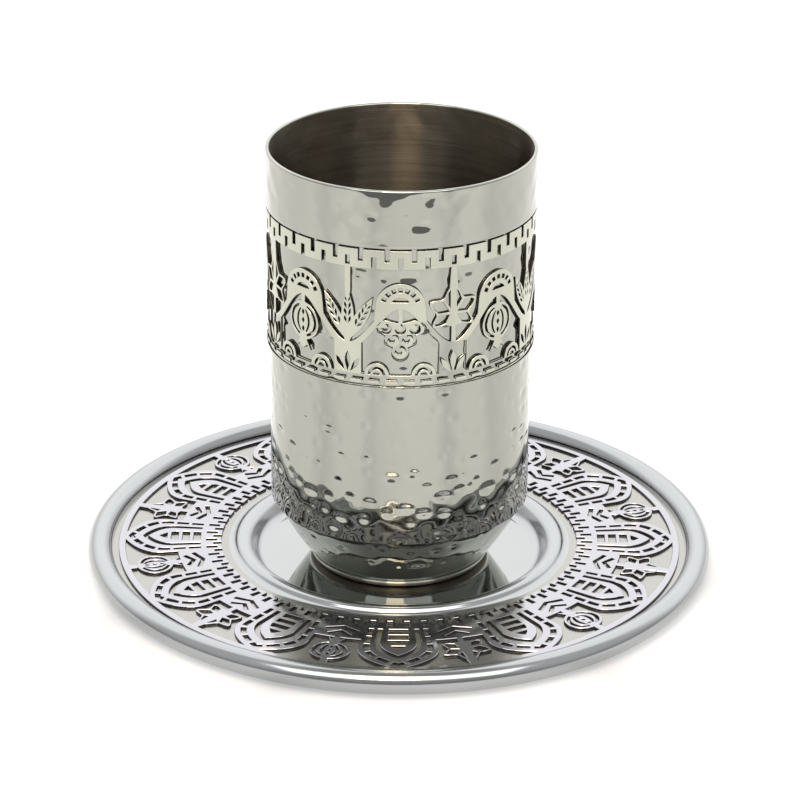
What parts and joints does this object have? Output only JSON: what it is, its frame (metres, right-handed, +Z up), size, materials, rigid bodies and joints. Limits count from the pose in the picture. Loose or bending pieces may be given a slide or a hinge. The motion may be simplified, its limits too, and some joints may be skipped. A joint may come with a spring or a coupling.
{
  "type": "kiddush cup with saucer",
  "caption": "Straight-walled metal goblet with a tapered foot and a pierced frieze sleeve, standing in the well of a round saucer with a rolled rim and a pierced brim.",
  "frame": {"origin": "middle of the saucer's underside, on the surface that it stands on", "axes": "+Z up along the axis of the cup and the saucer; -Y is the front"},
  "size_m": [0.13, 0.13, 0.0908],
  "materials": {
    "hammered_steel": "polished over fine hammer marks",
    "sleeve_steel": "satin sheet, warm tone, dark pierced edges",
    "saucer_steel": "mirror polished, spun",
    "ring_steel": "satin sheet, dark pierced edges"
  },
  "bodies": {
    "root": {"cup_body": "hammered_steel", "cup_band": "sleeve_steel", "saucer": "saucer_steel", "saucer_ring": "ring_steel"}
  },
  "joints": []
}
